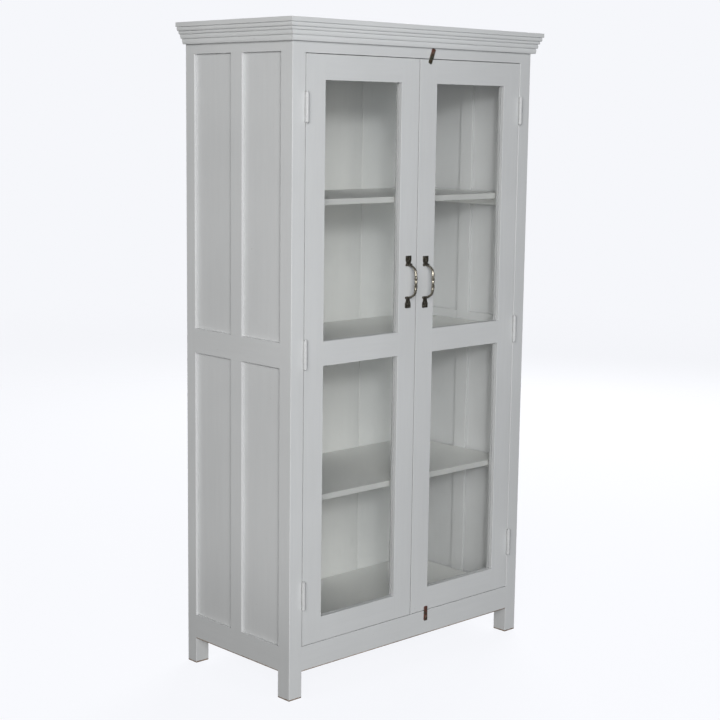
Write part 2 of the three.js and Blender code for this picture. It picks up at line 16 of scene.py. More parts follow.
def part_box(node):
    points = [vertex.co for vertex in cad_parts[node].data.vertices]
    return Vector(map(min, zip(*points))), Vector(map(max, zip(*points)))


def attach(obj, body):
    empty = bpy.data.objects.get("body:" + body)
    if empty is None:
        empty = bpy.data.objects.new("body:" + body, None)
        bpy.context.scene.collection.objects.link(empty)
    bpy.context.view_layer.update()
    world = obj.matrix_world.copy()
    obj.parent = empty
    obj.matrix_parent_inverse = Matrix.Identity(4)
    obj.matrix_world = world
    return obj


MM = 0.001
SIDES = {"left": -1, "right": 1}
UP, DOWN = Vector((0, 0, 1)), Vector((0, 0, -1))
LEFTWARD, RIGHTWARD = Vector((-1, 0, 0)), Vector((1, 0, 0))
FORWARD, BACKWARD = Vector((0, -1, 0)), Vector((0, 1, 0))

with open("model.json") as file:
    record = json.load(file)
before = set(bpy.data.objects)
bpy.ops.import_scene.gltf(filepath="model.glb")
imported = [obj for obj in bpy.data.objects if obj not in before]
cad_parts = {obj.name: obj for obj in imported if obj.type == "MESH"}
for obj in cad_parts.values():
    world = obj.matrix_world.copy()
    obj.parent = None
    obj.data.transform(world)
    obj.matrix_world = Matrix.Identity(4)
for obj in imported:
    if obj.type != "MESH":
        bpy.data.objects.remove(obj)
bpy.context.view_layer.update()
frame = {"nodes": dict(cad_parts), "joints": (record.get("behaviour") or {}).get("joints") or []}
nodes = frame["nodes"]
joints = {joint["name"]: joint for joint in frame["joints"]}

# Camera, in the object's own frame
CAMERA_PLACE = (-3.0839, -3.2209, 1.5544)
CAMERA_YAW = 0.7614  # from +Y towards +X
CAMERA_PITCH = 0.1545  # below the horizon
CAMERA_ROLL = 0.0129
CAMERA_LENS = 77.79  # mm, on a 36 mm sensor

# Light: a distant key, a wide softbox and a low one, all near the camera's side, a faint blue lamp ahead
# and a lamp behind, in a dim room
BACKGROUND = (0.921, 0.930, 0.965)
KEY_PLACE = (-5.3, -6.2, 3.0)
KEY_SIZE = 0.8
KEY_POWER = 176
KEY_COLOR = (0.98, 0.99, 1.0)
SOFTBOX_PLACE = (-5.1, -5.3, 2.8)
SOFTBOX_SIZE = (5.2, 3.9)
SOFTBOX_POWER = 404
SOFTBOX_COLOR = (1.0, 1.0, 0.99)
LOW_PLACE = (-3.4, -4.6, 0.9)
LOW_SIZE = (3.5, 1.6)
LOW_POWER = 42
AHEAD_PLACE = (-0.6, -5.6, 1.9)
AHEAD_SIZE = (3.0, 2.4)
AHEAD_POWER = 8
AHEAD_COLOR = (0.3, 0.6, 1.0)
BEHIND_PLACE = (4.0, 2.6, 3.0)  # lights the back, the top and the right side
BEHIND_SIZE = (3.0, 3.0)
BEHIND_POWER = 260
BEHIND_COLOR = (1.0, 1.0, 1.0)
AIM = (0, 0, 0.95)
ROOM_FRONT = 0.05  # strength of the room's light from BRIGHT_WAY
ROOM_BACK = 0.045  # and from the opposite way
BRIGHT_WAY = (-0.45, -0.8, 0.4)
ROOM_WARM = (1.0, 0.995, 0.97)  # color of the room's light from the left
ROOM_COOL = (0.93, 0.98, 1.10)  # and from the right
COOL_WAY = (1, -0.3, 0)
FLOOR_GLOW = 0.958  # share of the floor's brightness that no shadow takes away
FLOOR_TONES = (0.085, 0.09)
FLOOR_RADIUS = 40
FLOOR_FADE = (3.0, 9.0)  # the floor melts into the backdrop between these distances

# Paint: colors, lighter and darker copies that are painted light and shade, shares of wear and of painted
# shade, and heights above the floor
OUTSIDE = (0.626, 0.633, 0.637)
# painted light: a lighter copy of the outside paint for the cornice, standing in for light from below
CORNICE_LIGHTENED = (0.66, 0.667, 0.671)
# painted light: a lighter, slightly warmer copy of the outside paint for the shelves, back boards, bottom
# board and cleats
INSIDE_LIGHTENED = (0.865, 0.87, 0.85)
# painted shade: a darker copy of the outside paint for the hinges, their screws and the back nails, which
# dims the light on the barrels
HINGES_SHADED = (0.52, 0.525, 0.527)
INSIDE_WEAR = 0.7
HINGE_WEAR = 1.6
REVEAL_SHADE = 0.76  # painted shade on the doors' edges and beads that look left or right
FRAME_REVEAL_SHADE = 0.88  # painted shade on the side frames' edges that look forward
# painted shade on the shelves' front edges
SHELF_EDGE_SHADE = 0.75
BOARD_LIGHT_AND_SHADE = {"left": 0.95, "right": 1.04}  # painted light and shade: the left back board darker, the right one lighter
STRETCH = {"x": (0.045, 1, 1), "y": (1, 0.045, 1), "z": (1, 1, 0.045)}  # draws a noise out along one axis
WOOD_DARK = (0.14, 0.085, 0.05, 1)
WOOD_LIGHT = (0.3, 0.21, 0.14, 1)
PRIMER_DARK = (0.3, 0.28, 0.25, 1)
PRIMER_LIGHT = (0.42, 0.39, 0.35, 1)
BARE_BELOW = 0.0025  # leg ends worn to the wood up to here
SIDE_SHADE_HEIGHTS = (0.42, 0.08)  # painted shade: sides are untouched above the first height and darkest below the second
# painted shade: the sides' tone at the floor, as a share of their tone higher up
LOW_SIDE_SHADE = 0.86
UNDERSIDE_BELOW = 0.09  # undersides lower than this show bare wood
RAGGED_END = 4 * MM  # how unevenly the bare leg ends stop
WORN_EDGE = 1.6 * MM  # width of the rubbed strip along an edge
PAINT_RELIEF = 0.3 * MM

# Glass
GLASS_TINT = (0.988, 0.99, 0.988, 1)
GLASS_RELIEF = 0.6 * MM
GLASS_ROUGHNESS = 0.1
HEAD_ON_MIRROR = 0.04  # share of the light that glass mirrors when seen head-on
GLASS_MIRROR = (0.6, 0.6, 0.6, 1)  # under full strength, so that the softbox doesn't hide the inside
GLASS_DUST = (0.75, 0.76, 0.74, 1)

# Brass
GRIP_HALF = (46 * MM, 34 * MM)  # no rub beyond the first height from the middle, full rub within the second
GRIP_RUB = (0.05, 0.62)
EVEN_RUB = 0.16
HANDLE_TONES = ((0.055, 0.05, 0.04), (0.54, 0.50, 0.41))  # dark brass and rubbed brass
BUTTON_TONES = ((0.055, 0.055, 0.036), (0.36, 0.33, 0.27))
PIVOT_TONES = ((0.16, 0.10, 0.07), (0.55, 0.45, 0.36))
RUST = (0.21, 0.075, 0.06)
BRASS_EDGE = 0.8 * MM  # width of the rubbed strip along an edge
BRASS_RELIEF = 0.3 * MM

# Softened edges
POST_SOFT = 1.2 * MM
RAIL_SOFT = 0.8 * MM
SHELF_SOFT = 1.0 * MM
TOP_SOFT = 0.6 * MM
CORNICE_SOFT = 0.5 * MM
HINGE_SOFT = 0.3 * MM
WELD = 0.01 * MM
SHARP_EDGE = math.radians(38)  # a larger angle between faces stays a sharp edge
LONG_EDGE = math.radians(30)  # a long edge is beveled above this angle
ANY_EDGE = math.radians(40)  # and any other edge above this one
FLAT = math.radians(0.5)  # faces within this angle are one flat

# Glazing beads, in the rebates behind the panes
BEAD_WIDTH = 7.8 * MM
BEAD_CLEARANCE = 0.15 * MM
BEAD_ROUND = 4.5 * MM
REBATE = 8 * MM  # from the sight line to the rebate's wall

# Slotted screw heads
HEAD_SUNK = 0.3 * MM  # how far a head reaches into the surface
HEAD_RIM = 0.35  # height of the slot's floor, as a share of the head's
SLOT_HALF = 0.15  # half the slot's width, as a share of the head's radius
DOME_STEPS = ((1.0, 0.2, 0.7), (0.78, 0.6, 1.0))  # radius, foot and top, as shares of the head's

# Hinges
PIN_HEAD = 3.3 * MM  # the pin's rounded ends past the barrel
KNUCKLE_RADIUS = 5.6 * MM
BORE_RADIUS = 2.55 * MM
KNUCKLE_COUNT = 5
KNUCKLE_GAP = 0.15 * MM
LEAF = (1.0 * MM, 3.0 * MM)  # from the axis towards the door
LEAF_START = 0.3 * MM  # behind the door's face
LEAF_CORNER = 2.0 * MM
LEAF_LAP = 0.3 * MM  # how far the knuckles run on into the leaf
LEAF_SOFT = 0.25 * MM
SCREW_HEIGHTS = (-27 * MM, 0.0, 27 * MM)
SCREW_DEPTHS = (11 * MM, 15.5 * MM, 11 * MM)  # behind the door's face
SCREW_RADIUS = 3.3 * MM
SCREW_PROUD = 0.5 * MM

# Screws of the handles and turn buttons
FOOT_SCREW_HEIGHT = 63 * MM  # from the middle of the handle
FOOT_FRONT = 3.0 * MM  # front of a foot before the door
FOOT_SCREW_RADIUS = 3.2 * MM
FOOT_SCREW_PROUD = 1.0 * MM
PIVOT_RADIUS = 3.5 * MM
PIVOT_PROUD = 1.2 * MM
PIVOT_CLEARANCE = 0.32 * MM  # the head just clears the button, which turns under it

# Nails of the back boards
NAIL_RADIUS = 2.4 * MM
NAIL_PROUD = 0.5 * MM
NAIL_EDGE = 6 * MM  # board's edge to the row of nails
NAIL_STEP_UP = 190 * MM
NAIL_STEP_ACROSS = 160 * MM
NAIL_FLOOR = 9 * MM  # the bottom board's underside to its row of nails
NAIL_WANDER = (2 * MM, 6 * MM)  # across and up
NAIL_SUNK = 0.3 * MM
NAIL_SOFT = 0.2 * MM

# Paint that bridges the joints of the frames
FILL_PROUD = 0.02 * MM
FILL_DEPTH = 0.5 * MM
FILL_END = 0.6 * MM
FILL_SLOPE = 0.3 * MM
STILE_SIDE = 0.9 * MM  # how far the fill lies over a stile's or muntin's rounded edge
POST_SIDE = 1.3 * MM  # and over a post's
RAIL_SIDE = 0.4 * MM  # and over the rail at the joint's other side


def add_camera():
    pitch, yaw, roll = CAMERA_PITCH, CAMERA_YAW, CAMERA_ROLL
    ahead = Vector((math.sin(yaw) * math.cos(pitch), math.cos(yaw) * math.cos(pitch), -math.sin(pitch)))
    level = Vector((math.cos(yaw), -math.sin(yaw), 0))
    above = level.cross(ahead)
    right = level * math.cos(roll) + above * math.sin(roll)
    up = above * math.cos(roll) - level * math.sin(roll)
    camera = bpy.data.objects.new("camera", bpy.data.cameras.new("camera"))
    camera.data.lens = CAMERA_LENS
    camera.data.clip_end = 200
    turn = Matrix((right, up, -ahead)).transposed().to_4x4()
    camera.matrix_world = Matrix.Translation(CAMERA_PLACE) @ turn
    bpy.context.scene.collection.objects.link(camera)
    bpy.context.scene.camera = camera


add_camera()
bpy.context.scene.view_settings.view_transform = "Standard"


class Graph:
    """The nodes of one material, added and joined by short calls."""

    def __init__(self, name):
        self.material = bpy.data.materials.new(name)
        self.material.use_nodes = True
        self.tree = self.material.node_tree
        self.shader = self.tree.nodes["Principled BSDF"]
        self.output = self.tree.nodes["Material Output"]

    def put(self, socket, value):
        if isinstance(value, bpy.types.NodeSocket):
            self.tree.links.new(value, socket)
        else:
            socket.default_value = value

    def add(self, kind, inputs=None, **settings):
        node = self.tree.nodes.new(kind)
        for key, value in settings.items():
            setattr(node, key, value)
        for key, value in (inputs or {}).items():
            self.put(node.inputs[key], value)
        return node

    def math(self, operation, a, b=0.0, clamp=False):
        return self.add("ShaderNodeMath", {0: a, 1: b}, operation=operation, use_clamp=clamp).outputs[0]

    def place(self, stretch=(1, 1, 1), shift=(0, 0, 0)):
        """The object's own coordinates, in metres, stretched."""
        coords = self.add("ShaderNodeTexCoord").outputs["Object"]
        mapping = self.add("ShaderNodeMapping", {"Vector": coords, "Scale": stretch, "Location": shift})
        return mapping.outputs["Vector"]

    def noise(self, vector, scale, detail=3.0, roughness=0.55, distortion=0.0):
        inputs = {"Vector": vector, "Scale": scale, "Detail": detail}
        inputs.update({"Roughness": roughness, "Distortion": distortion})
        return self.add("ShaderNodeTexNoise", inputs).outputs["Fac"]

    def range(self, value, low, high, to_low=0.0, to_high=1.0):
        """value from low..high to to_low..to_high, clamped and smooth."""
        inputs = {"Value": value, "From Min": low, "From Max": high, "To Min": to_low, "To Max": to_high}
        return self.add("ShaderNodeMapRange", inputs, interpolation_type="SMOOTHSTEP").outputs["Result"]

    def mix(self, share, first, second, blend="MIX"):
        node = self.add("ShaderNodeMix", data_type="RGBA", blend_type=blend)
        self.put(node.inputs[0], share)
        self.put(node.inputs[6], first)
        self.put(node.inputs[7], second)
        return node.outputs[2]

    def bump(self, height, distance, strength=1.0, normal=None):
        inputs = {"Height": height, "Distance": distance, "Strength": strength}
        if normal is not None:
            inputs["Normal"] = normal
        return self.add("ShaderNodeBump", inputs).outputs["Normal"]

    def edges(self, radius, low, high):
        """1 on the arrises, 0 on the flats."""
        rounded = self.add("ShaderNodeBevel", {"Radius": radius}, samples=4).outputs["Normal"]
        normal = self.add("ShaderNodeNewGeometry").outputs["Normal"]
        same = self.add("ShaderNodeVectorMath", {0: rounded, 1: normal}, operation="DOT_PRODUCT")
        return self.range(self.math("SUBTRACT", 1.0, same.outputs["Value"]), low, high)


def add_floor():
    """A pale sheet without a horizon. It glows for the camera only, and so lights nothing from below."""
    bpy.ops.mesh.primitive_circle_add(vertices=96, radius=FLOOR_RADIUS, fill_type="NGON")
    floor = bpy.context.object
    floor.name = "floor"
    graph = Graph("floor")
    plain = graph.place()
    shade = graph.range(graph.noise(plain, 0.6, 2), 0.3, 0.7, *FLOOR_TONES)
    paper = graph.add("ShaderNodeBsdfDiffuse", {"Color": graph.mix(shade, (0, 0, 0, 1), (1, 1, 1.02, 1))})
    glow = graph.add("ShaderNodeEmission", {"Color": (*BACKGROUND, 1), "Strength": FLOOR_GLOW})
    both = graph.add("ShaderNodeAddShader", {0: paper.outputs[0], 1: glow.outputs[0]})
    seen = graph.add("ShaderNodeLightPath").outputs["Is Camera Ray"]
    lit = graph.add("ShaderNodeMixShader", {0: seen, 1: paper.outputs[0], 2: both.outputs[0]})
    distance = graph.add("ShaderNodeVectorMath", {0: plain}, operation="LENGTH").outputs["Value"]
    clear = graph.add("ShaderNodeBsdfTransparent")
    fade = graph.math("MULTIPLY", graph.range(distance, *FLOOR_FADE), seen)
    faded = graph.add("ShaderNodeMixShader", {0: fade, 1: lit.outputs[0], 2: clear.outputs[0]})
    graph.put(graph.output.inputs["Surface"], faded.outputs[0])
    floor.data.materials.append(graph.material)


def add_world():
    world = bpy.data.worlds.new("studio")
    bpy.context.scene.world = world
    world.use_nodes = True
    tree = world.node_tree
    add = tree.nodes.new
    link = tree.links.new
    coords = add("ShaderNodeTexCoord")
    toward = add("ShaderNodeVectorMath")
    toward.operation = "DOT_PRODUCT"
    toward.inputs[1].default_value = Vector(BRIGHT_WAY).normalized()
    link(coords.outputs["Generated"], toward.inputs[0])
    level = add("ShaderNodeMapRange")
    level.interpolation_type = "SMOOTHSTEP"
    level_range = {"From Min": -0.2, "From Max": 1.0, "To Min": ROOM_BACK, "To Max": ROOM_FRONT}
    for key, value in level_range.items():
        level.inputs[key].default_value = value
    link(toward.outputs["Value"], level.inputs["Value"])
    around = add("ShaderNodeBackground")
    link(level.outputs["Result"], around.inputs["Strength"])
    sideways = add("ShaderNodeVectorMath")
    sideways.operation = "DOT_PRODUCT"
    sideways.inputs[1].default_value = COOL_WAY
    link(coords.outputs["Generated"], sideways.inputs[0])
    cool = add("ShaderNodeMapRange")
    cool.inputs["From Min"].default_value = -0.6
    cool.inputs["From Max"].default_value = 0.8
    link(sideways.outputs["Value"], cool.inputs["Value"])
    tint = add("ShaderNodeMix")
    tint.data_type = "RGBA"
    link(cool.outputs["Result"], tint.inputs[0])
    tint.inputs[6].default_value = (*ROOM_WARM, 1)
    tint.inputs[7].default_value = (*ROOM_COOL, 1)
    link(tint.outputs[2], around.inputs["Color"])
    seen = add("ShaderNodeBackground")
    seen.inputs["Color"].default_value = (*BACKGROUND, 1)
    path = add("ShaderNodeLightPath")
    pick = add("ShaderNodeMixShader")
    link(path.outputs["Is Camera Ray"], pick.inputs[0])
    link(around.outputs[0], pick.inputs[1])
    link(seen.outputs[0], pick.inputs[2])
    link(pick.outputs[0], tree.nodes["World Output"].inputs["Surface"])


def add_lamp(name, place, power, shape, size, color, mirrored=True):
    """An area lamp turned to the cabinet. One that isn't mirrored doesn't show in glass or metal."""
    light = bpy.data.lights.new(name, "AREA")
    light.shape = shape
    light.size = size[0]
    light.size_y = size[-1]
    light.energy = power
    light.color = color
    lamp = bpy.data.objects.new(name, light)
    away = Vector(place) - Vector(AIM)
    lamp.matrix_world = Matrix.Translation(place) @ away.to_track_quat("Z", "Y").to_matrix().to_4x4()
    lamp.visible_camera = False
    lamp.visible_glossy = mirrored
    bpy.context.scene.collection.objects.link(lamp)


add_floor()
add_world()
add_lamp("key", KEY_PLACE, KEY_POWER, "DISK", (KEY_SIZE,), KEY_COLOR)
add_lamp("softbox", SOFTBOX_PLACE, SOFTBOX_POWER, "RECTANGLE", SOFTBOX_SIZE, SOFTBOX_COLOR)
add_lamp("low_softbox", LOW_PLACE, LOW_POWER, "RECTANGLE", LOW_SIZE, SOFTBOX_COLOR)
add_lamp("ahead", AHEAD_PLACE, AHEAD_POWER, "RECTANGLE", AHEAD_SIZE, AHEAD_COLOR, mirrored=False)
add_lamp("behind", BEHIND_PLACE, BEHIND_POWER, "RECTANGLE", BEHIND_SIZE, BEHIND_COLOR)

# Materials


def paint(name, color, grain, wear=1.0, front_shade=1.0, side_shade=1.0, bare_below=BARE_BELOW):
    """Brushed satin paint on wood, its strokes running along one axis.

    wear is the share of worn edges and nicks. The front and side tones are painted shade: the first dims
    the faces that look forward, the second those that look left or right, and sideways faces get more
    painted shade towards the floor. Below bare_below the wood is bare.
    """
    graph = Graph(name)
    along = graph.place(STRETCH[grain])
    plain = graph.place()
    strokes = graph.noise(along, 330, 4, 0.6)
    grain_lines = graph.noise(along, 85, 5, 0.62, 0.35)
    clouds = graph.noise(plain, 2.6, 3, 0.5)
    fine = graph.noise(plain, 900, 2)

    # Tone: brush strokes, the grain under the paint and wide clouds
    tone = graph.math("ADD", graph.range(strokes, 0.25, 0.75, -0.008, 0.008), 1.0)
    tone = graph.math("ADD", tone, graph.range(grain_lines, 0.3, 0.75, -0.012, 0.011))
    tone = graph.math("ADD", tone, graph.range(clouds, 0.3, 0.7, -0.026, 0.024))
    painted = graph.mix(1.0, (*color, 1), tone, "MULTIPLY")

    # Painted shade dims the faces that look forward or sideways, and the sides' low parts most
    facing = graph.add("ShaderNodeNewGeometry").outputs["Normal"]
    sides = graph.add("ShaderNodeSeparateXYZ", {0: facing})
    position = graph.add("ShaderNodeSeparateXYZ", {0: plain}).outputs["Z"]
    forward = graph.range(sides.outputs["Y"], -0.6, -0.9, 1.0, front_shade)
    sideways = graph.range(graph.math("ABSOLUTE", sides.outputs["X"]), 0.75, 0.97)
    low_side_shade = graph.range(position, *SIDE_SHADE_HEIGHTS, side_shade, side_shade * LOW_SIDE_SHADE)
    dimmed = graph.math("ADD", 1.0, graph.math("MULTIPLY", sideways, graph.math("SUBTRACT", low_side_shade, 1.0)))
    painted = graph.mix(1.0, painted, graph.math("MULTIPLY", forward, dimmed), "MULTIPLY")

    # Edges rubbed down to the primer in patches, and a few nicks
    edge = graph.edges(WORN_EDGE, 0.02, 0.25) if wear else 0.0
    patchy = graph.range(graph.noise(plain, 70, 4, 0.6), 0.52, 0.66)
    worn = graph.math("MULTIPLY", graph.math("MULTIPLY", edge, patchy), 0.55 * wear)
    nick_spots = graph.range(graph.noise(plain, 150, 2, 0.4), 0.765, 0.79)
    nick_places = graph.range(graph.noise(plain, 9, 2), 0.52, 0.6)
    nicks = graph.math("MULTIPLY", graph.math("MULTIPLY", nick_spots, nick_places), 0.7 * wear)

    # Bare wood at the legs' ends and on low undersides
    ragged = graph.math("MULTIPLY", graph.noise(plain, 130, 4), RAGGED_END)
    end_wear = graph.range(graph.math("SUBTRACT", position, ragged), bare_below, bare_below - 0.0016)
    down = graph.range(sides.outputs["Z"], -0.25, -0.6)
    low = graph.range(position, UNDERSIDE_BELOW, UNDERSIDE_BELOW - 0.001)
    bare = graph.math("MAXIMUM", end_wear, graph.math("MULTIPLY", down, low), clamp=True)

    wood_tone = graph.range(grain_lines, 0.3, 0.7)
    wood = graph.mix(wood_tone, WOOD_DARK, WOOD_LIGHT)
    primer = graph.mix(wood_tone, PRIMER_DARK, PRIMER_LIGHT)
    surface = graph.mix(graph.math("MAXIMUM", worn, nicks, clamp=True), painted, primer)
    graph.put(graph.shader.inputs["Base Color"], graph.mix(bare, surface, wood))

    rough = graph.range(strokes, 0.3, 0.7, 0.44, 0.56)
    unpainted = graph.math("MULTIPLY", graph.math("MAXIMUM", bare, worn), 0.3)
    graph.put(graph.shader.inputs["Roughness"], graph.math("ADD", rough, unpainted, clamp=True))
    graph.shader.inputs["Specular IOR Level"].default_value = 0.4

    # Relief: strokes, grain and a fine texture, with the worn places sunk in
    height = graph.math("MULTIPLY", strokes, 0.35)
    height = graph.math("ADD", height, graph.math("MULTIPLY", grain_lines, 0.5))
    height = graph.math("ADD", height, graph.math("MULTIPLY", fine, 0.08))
    height = graph.math("SUBTRACT", height, graph.math("MULTIPLY", graph.math("MAXIMUM", nicks, worn), 0.8))
    graph.put(graph.shader.inputs["Normal"], graph.bump(height, PAINT_RELIEF, 0.6))
    return graph.material


def clear_glass():
    """Old window glass: clear, more of a mirror towards a glancing view, with a trace of dust."""
    graph = Graph("clear_glass")
    dust = graph.range(graph.noise(graph.place(), 14, 5, 0.6), 0.45, 0.8, 0.002, 0.02)
    ripple = graph.noise(graph.place((1, 1, 0.3)), 5, 2)
    normal = graph.bump(ripple, GLASS_RELIEF, 0.35)
    through = graph.add("ShaderNodeBsdfTransparent", {"Color": GLASS_TINT})
    gloss = {"Color": GLASS_MIRROR, "Roughness": GLASS_ROUGHNESS, "Normal": normal}
    mirror = graph.add("ShaderNodeBsdfGlossy", gloss)
    film = graph.add("ShaderNodeBsdfDiffuse", {"Color": GLASS_DUST})
    glancing = graph.add("ShaderNodeLayerWeight", {"Blend": 0.5}).outputs["Facing"]
    rise = graph.math("MULTIPLY", graph.math("POWER", glancing, 5.0), 1 - HEAD_ON_MIRROR)
    share = graph.math("ADD", rise, HEAD_ON_MIRROR)
    clean = graph.add("ShaderNodeMixShader", {0: share, 1: through.outputs[0], 2: mirror.outputs[0]})
    dusty = graph.add("ShaderNodeMixShader", {0: dust, 1: clean.outputs[0], 2: film.outputs[0]})
    graph.tree.nodes.remove(graph.shader)
    graph.put(graph.output.inputs["Surface"], dusty.outputs[0])
    return graph.material


def aged_metal(name, dark, bright, rub, roughness, rust=None):
    """Brass gone dark, rubbed bright where rub(graph) says and along its edges."""
    graph = Graph(name)
    plain = graph.place()
    mottle = graph.noise(plain, 160, 5, 0.65)
    blotch = graph.noise(plain, 45, 3)
    share = graph.math("ADD", rub(graph), graph.range(mottle, 0.35, 0.75, -0.25, 0.25), clamp=True)
    share = graph.math("MAXIMUM", share, graph.math("MULTIPLY", graph.edges(BRASS_EDGE, 0.03, 0.3), 0.45))
    color = graph.mix(share, (*dark, 1), (*bright, 1))
    if rust:
        color = graph.mix(graph.range(blotch, 0.38, 0.54, 0, 0.75), color, (*rust, 1))
    graph.put(graph.shader.inputs["Base Color"], color)
    graph.put(graph.shader.inputs["Metallic"], graph.range(share, 0.0, 0.6, 0.4, 0.82))
    rough = graph.range(mottle, 0.3, 0.7, *roughness)
    graph.put(graph.shader.inputs["Roughness"], rough)
    graph.put(graph.shader.inputs["Normal"], graph.bump(mottle, BRASS_RELIEF, 0.5))
    return graph.material


outside_paint = {axis: paint("painted_wood_" + axis, OUTSIDE, axis) for axis in "xyz"}
# Painted light: the inside pieces get the lighter copy of the paint
lightened_inside_paint = {axis: paint("lightened_inside_paint_" + axis, INSIDE_LIGHTENED, axis, INSIDE_WEAR) for axis in "xy"}
# Painted shade on the shelves' front edges
front_shaded_shelf_paint = paint("front_shaded_shelf_paint", INSIDE_LIGHTENED, "x", INSIDE_WEAR, front_shade=SHELF_EDGE_SHADE)
# Painted light and shade on the back boards, one darker and one lighter
board_light_and_shade_paint = {
    side: paint(f"back_board_light_and_shade_{side}", [tone * part for part in INSIDE_LIGHTENED], "z", INSIDE_WEAR)
    for side, tone in BOARD_LIGHT_AND_SHADE.items()
}
# Painted shade on the back posts' and muntins' faces that look forward
front_shaded_frame_paint = paint("front_shaded_frame", OUTSIDE, "z", front_shade=FRAME_REVEAL_SHADE)
# Painted light: the cornice gets the lighter copy of the paint
lightened_cornice_paint = {axis: paint("lightened_cornice_" + axis, CORNICE_LIGHTENED, axis) for axis in "xy"}
# Painted shade on the stiles' and beads' faces that look left or right
side_shaded_stile_paint = paint("side_shaded_stile", OUTSIDE, "z", side_shade=REVEAL_SHADE)
side_shaded_bead_paint = {axis: paint("side_shaded_bead_" + axis, OUTSIDE, axis, side_shade=REVEAL_SHADE) for axis in "xz"}
LOW_RAIL_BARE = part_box("rail_left_bottom")[0].z + 1.2 * MM
low_rail_paint = {
    axis: paint("painted_low_rail_" + axis, OUTSIDE, axis, bare_below=LOW_RAIL_BARE) for axis in "xy"
}
fill_paint = {axis: paint("paint_fill_" + axis, OUTSIDE, axis, wear=0.0) for axis in "xy"}
# Painted shade: hinges, screws and nails get the darker copy of the paint
shaded_hinge_paint = paint("painted_hinge", HINGES_SHADED, "z", HINGE_WEAR)
glass = clear_glass()

HANDLE_MIDDLE = sum(corner.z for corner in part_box("handle_left")) / 2


def grip_rub(graph):
    """The grip between the arms is bright."""
    height = graph.add("ShaderNodeSeparateXYZ", {0: graph.place()}).outputs["Z"]
    away = graph.math("ABSOLUTE", graph.math("SUBTRACT", height, HANDLE_MIDDLE))
    return graph.range(away, *GRIP_HALF, *GRIP_RUB)


def even_rub(graph):
    return EVEN_RUB


handle_brass = aged_metal("aged_brass", *HANDLE_TONES, grip_rub, (0.15, 0.3))
button_brass = aged_metal("dark_brass", *BUTTON_TONES, even_rub, (0.35, 0.6), RUST)
pivot_brass = aged_metal("pivot_brass", *PIVOT_TONES, even_rub, (0.3, 0.55))

# Softened edges on the CAD nodes


def shading_group():
    """Smooth faces, with sharp edges kept."""
    tree = bpy.data.node_groups.new("soft_shading", "GeometryNodeTree")
    tree.interface.new_socket("Geometry", in_out="INPUT", socket_type="NodeSocketGeometry")
    tree.interface.new_socket("Geometry", in_out="OUTPUT", socket_type="NodeSocketGeometry")
    start = tree.nodes.new("NodeGroupInput")
    end = tree.nodes.new("NodeGroupOutput")
    angle = tree.nodes.new("GeometryNodeInputMeshEdgeAngle")
    sharp = tree.nodes.new("FunctionNodeCompare")
    sharp.operation = "GREATER_THAN"
    sharp.inputs["B"].default_value = SHARP_EDGE
    faces = tree.nodes.new("GeometryNodeSetShadeSmooth")
    edges = tree.nodes.new("GeometryNodeSetShadeSmooth")
    edges.domain = "EDGE"
    edges.inputs["Shade Smooth"].default_value = False
    link = tree.links.new
    link(angle.outputs["Unsigned Angle"], sharp.inputs["A"])
    link(start.outputs[0], faces.inputs["Geometry"])
    link(faces.outputs[0], edges.inputs["Geometry"])
    link(sharp.outputs[0], edges.inputs["Selection"])
    link(edges.outputs[0], end.inputs[0])
    return tree


def long_edge_group(axis):
    """Gives bevel weight only to the edges that run along one axis."""
    tree = bpy.data.node_groups.new("long_edges_" + axis, "GeometryNodeTree")
    tree.interface.new_socket("Geometry", in_out="INPUT", socket_type="NodeSocketGeometry")
    tree.interface.new_socket("Geometry", in_out="OUTPUT", socket_type="NodeSocketGeometry")
    link = tree.links.new
    start = tree.nodes.new("NodeGroupInput")
    end = tree.nodes.new("NodeGroupOutput")
    ends = tree.nodes.new("GeometryNodeInputMeshEdgeVertices")
    run = tree.nodes.new("ShaderNodeVectorMath")
    run.operation = "SUBTRACT"
    unit = tree.nodes.new("ShaderNodeVectorMath")
    unit.operation = "NORMALIZE"
    parts = tree.nodes.new("ShaderNodeSeparateXYZ")
    size = tree.nodes.new("ShaderNodeMath")
    size.operation = "ABSOLUTE"
    angle = tree.nodes.new("GeometryNodeInputMeshEdgeAngle")
    along = tree.nodes.new("FunctionNodeCompare")
    along.operation = "GREATER_THAN"
    along.inputs["B"].default_value = 0.999
    turned = tree.nodes.new("FunctionNodeCompare")
    turned.operation = "GREATER_THAN"
    turned.inputs["B"].default_value = LONG_EDGE
    both = tree.nodes.new("FunctionNodeBooleanMath")
    store = tree.nodes.new("GeometryNodeStoreNamedAttribute")
    store.data_type = "FLOAT"
    store.domain = "EDGE"
    store.inputs["Name"].default_value = "bevel_weight_edge"
    link(ends.outputs["Position 1"], run.inputs[0])
    link(ends.outputs["Position 2"], run.inputs[1])
    link(run.outputs[0], unit.inputs[0])
    link(unit.outputs[0], parts.inputs[0])
    link(parts.outputs[axis.upper()], size.inputs[0])
    link(size.outputs[0], along.inputs["A"])
    link(angle.outputs["Unsigned Angle"], turned.inputs["A"])
    link(along.outputs[0], both.inputs[0])
    link(turned.outputs[0], both.inputs[1])
    link(start.outputs[0], store.inputs["Geometry"])
    link(both.outputs[0], store.inputs["Value"])
    link(store.outputs[0], end.inputs[0])
    return tree


soft_shading = shading_group()
long_edges = {axis: long_edge_group(axis) for axis in "xyz"}


